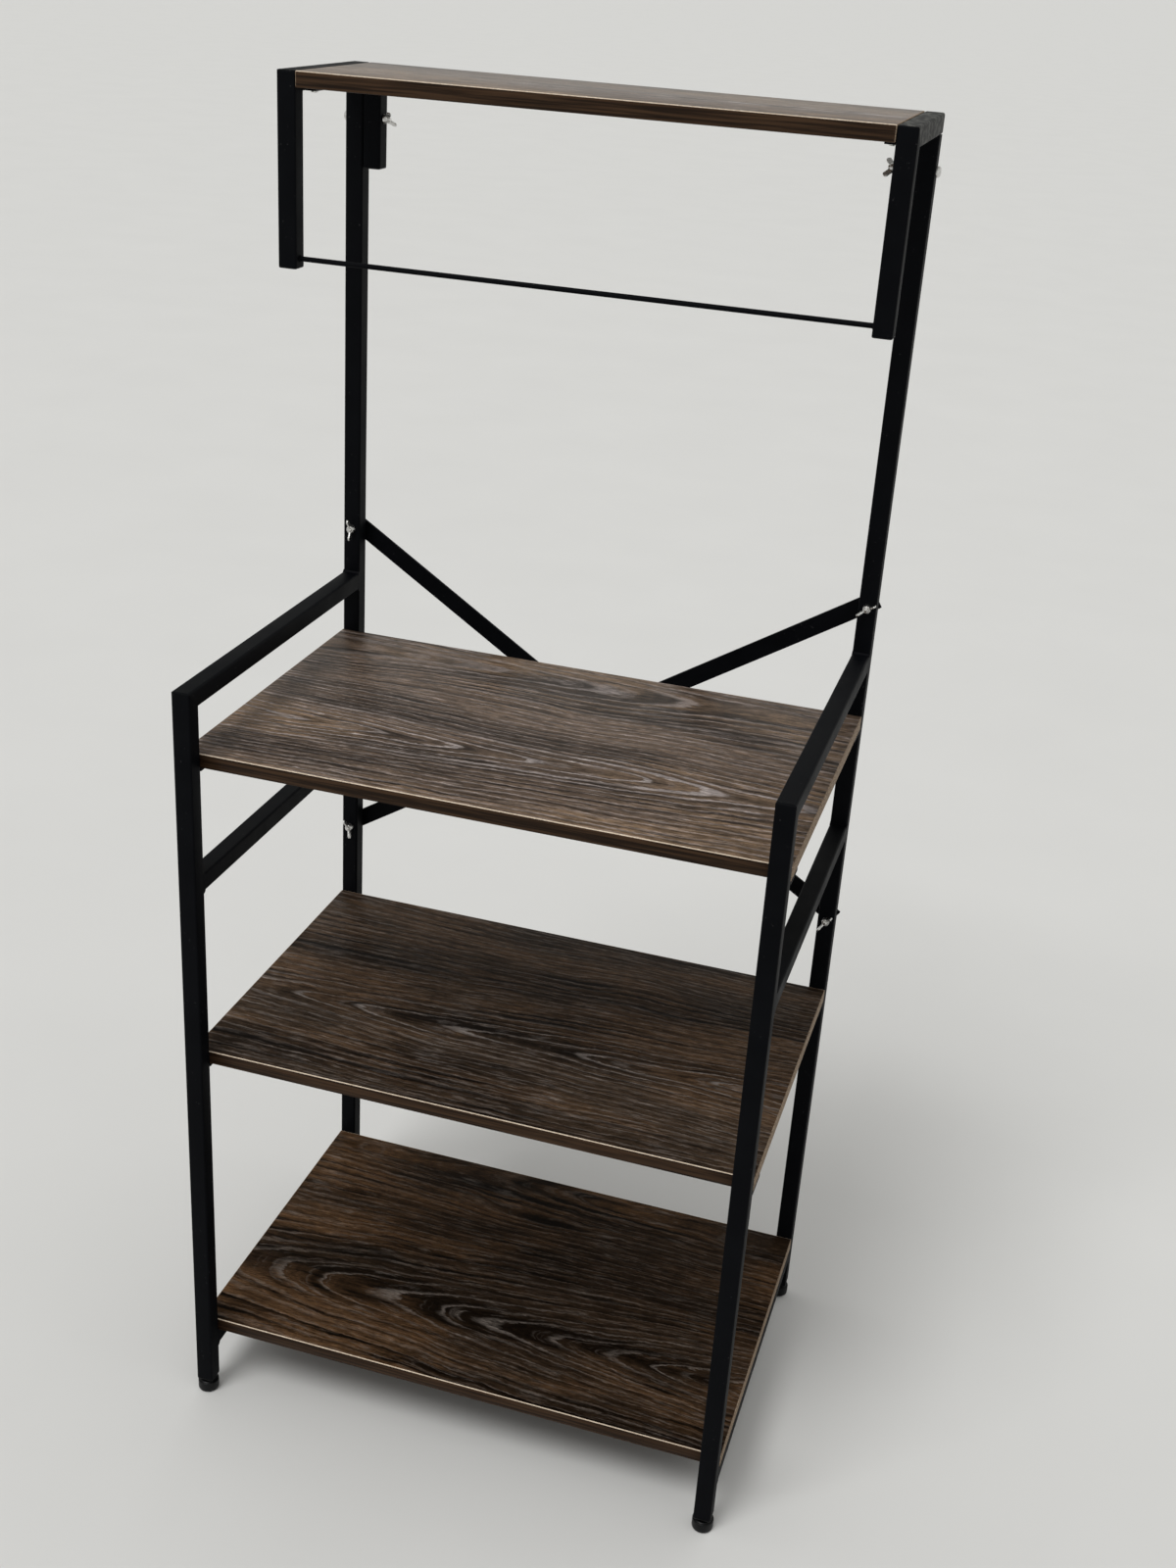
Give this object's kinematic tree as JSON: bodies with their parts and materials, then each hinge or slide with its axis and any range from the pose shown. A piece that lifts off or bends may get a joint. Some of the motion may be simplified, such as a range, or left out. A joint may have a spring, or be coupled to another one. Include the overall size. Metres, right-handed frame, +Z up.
{
  "type": "microwave stand",
  "caption": "Open kitchen stand for a microwave oven: square tube side frames, boards, a cross-braced back, and a raised narrow shelf with a towel rod on bolted brackets.",
  "frame": {"origin": "on the floor, at the middle of the bounding box's bottom", "axes": "+Z up, front facing -Y, +X to the right as seen from the front; left and right in the nodes' names are as seen from the front"},
  "size_m": [0.6086, 0.4258, 1.395],
  "materials": {
    "black_powder_coat": "satin black powder coat on steel",
    "dark_walnut_board": "board with a dark walnut grain, low sheen",
    "bright_zinc": "bright zinc plate",
    "black_plastic": "moulded black plastic"
  },
  "bodies": {
    "stand": {"bottom_shelf": "dark_walnut_board", "middle_shelf": "dark_walnut_board", "microwave_shelf": "dark_walnut_board", "top_board": "dark_walnut_board", "brace_bar_from_upper_left": "black_powder_coat", "brace_bar_from_upper_right": "black_powder_coat", "brace_rivet": "black_powder_coat", "towel_rod": "black_powder_coat", "left_front_leg": "black_powder_coat", "left_rear_post": "black_powder_coat", "left_arm_rail": "black_powder_coat", "left_side_rail": "black_powder_coat", "left_bottom_rail": "black_powder_coat", "left_top_rail": "black_powder_coat", "left_drop_leg": "black_powder_coat", "left_rear_hanger": "black_powder_coat", "left_board_ledge": "black_powder_coat", "left_front_microwave_shelf_tab": "black_powder_coat", "left_rear_microwave_shelf_tab": "black_powder_coat", "left_front_middle_shelf_tab": "black_powder_coat", "left_rear_middle_shelf_tab": "black_powder_coat", "right_front_leg": "black_powder_coat", "right_rear_post": "black_powder_coat", "right_arm_rail": "black_powder_coat", "right_side_rail": "black_powder_coat", "right_bottom_rail": "black_powder_coat", "right_top_rail": "black_powder_coat", "right_drop_leg": "black_powder_coat", "right_rear_hanger": "black_powder_coat", "right_board_ledge": "black_powder_coat", "right_front_microwave_shelf_tab": "black_powder_coat", "right_rear_microwave_shelf_tab": "black_powder_coat", "right_front_middle_shelf_tab": "black_powder_coat", "right_rear_middle_shelf_tab": "black_powder_coat", "left_front_leg_insert": "black_plastic", "left_rear_leg_insert": "black_plastic", "right_front_leg_insert": "black_plastic", "right_rear_leg_insert": "black_plastic", "left_drop_leg_plug": "black_plastic", "right_drop_leg_plug": "black_plastic", "left_hanger_plug": "black_plastic", "right_hanger_plug": "black_plastic", "left_top_rail_plug": "black_plastic", "right_top_rail_plug": "black_plastic", "upper_left_brace_bolt": "bright_zinc", "upper_right_brace_bolt": "bright_zinc", "lower_left_brace_bolt": "bright_zinc", "lower_right_brace_bolt": "bright_zinc", "left_top_bolt": "bright_zinc", "right_top_bolt": "bright_zinc"},
    "upper_left_brace_nut": {"upper_left_brace_wing_nut": "bright_zinc"},
    "upper_right_brace_nut": {"upper_right_brace_wing_nut": "bright_zinc"},
    "lower_left_brace_nut": {"lower_left_brace_wing_nut": "bright_zinc"},
    "lower_right_brace_nut": {"lower_right_brace_wing_nut": "bright_zinc"},
    "left_top_nut": {"left_top_wing_nut": "bright_zinc"},
    "right_top_nut": {"right_top_wing_nut": "bright_zinc"},
    "left_front_leveller": {"left_front_foot": "black_plastic"},
    "left_rear_leveller": {"left_rear_foot": "black_plastic"},
    "right_front_leveller": {"right_front_foot": "black_plastic"},
    "right_rear_leveller": {"right_rear_foot": "black_plastic"}
  },
  "joints": [
    {"name": "upper_left_brace_nut_turn", "type": "hinge", "parent": "stand", "child": "upper_left_brace_nut", "pos_m": [-0.2905, 0.18515, 0.909], "axis": [0, -1, 0], "continuous": true},
    {"name": "upper_right_brace_nut_turn", "type": "hinge", "parent": "stand", "child": "upper_right_brace_nut", "pos_m": [0.2905, 0.18515, 0.909], "axis": [0, -1, 0], "continuous": true},
    {"name": "lower_left_brace_nut_turn", "type": "hinge", "parent": "stand", "child": "lower_left_brace_nut", "pos_m": [-0.2905, 0.18515, 0.537], "axis": [0, -1, 0], "continuous": true},
    {"name": "lower_right_brace_nut_turn", "type": "hinge", "parent": "stand", "child": "lower_right_brace_nut", "pos_m": [0.2905, 0.18515, 0.537], "axis": [0, -1, 0], "continuous": true},
    {"name": "left_top_nut_turn", "type": "hinge", "parent": "stand", "child": "left_top_nut", "pos_m": [-0.2617, 0.19465, 1.343], "axis": [1, 0, 0], "continuous": true},
    {"name": "right_top_nut_turn", "type": "hinge", "parent": "stand", "child": "right_top_nut", "pos_m": [0.2617, 0.19465, 1.343], "axis": [-1, 0, 0], "continuous": true},
    {"name": "left_front_leveller_turn", "type": "hinge", "parent": "stand", "child": "left_front_leveller", "pos_m": [-0.2905, -0.20135, 0.0125], "axis": [0, 0, 1], "continuous": true},
    {"name": "left_rear_leveller_turn", "type": "hinge", "parent": "stand", "child": "left_rear_leveller", "pos_m": [-0.2905, 0.19465, 0.0125], "axis": [0, 0, 1], "continuous": true},
    {"name": "right_front_leveller_turn", "type": "hinge", "parent": "stand", "child": "right_front_leveller", "pos_m": [0.2905, -0.20135, 0.0125], "axis": [0, 0, 1], "continuous": true},
    {"name": "right_rear_leveller_turn", "type": "hinge", "parent": "stand", "child": "right_rear_leveller", "pos_m": [0.2905, 0.19465, 0.0125], "axis": [0, 0, 1], "continuous": true}
  ]
}
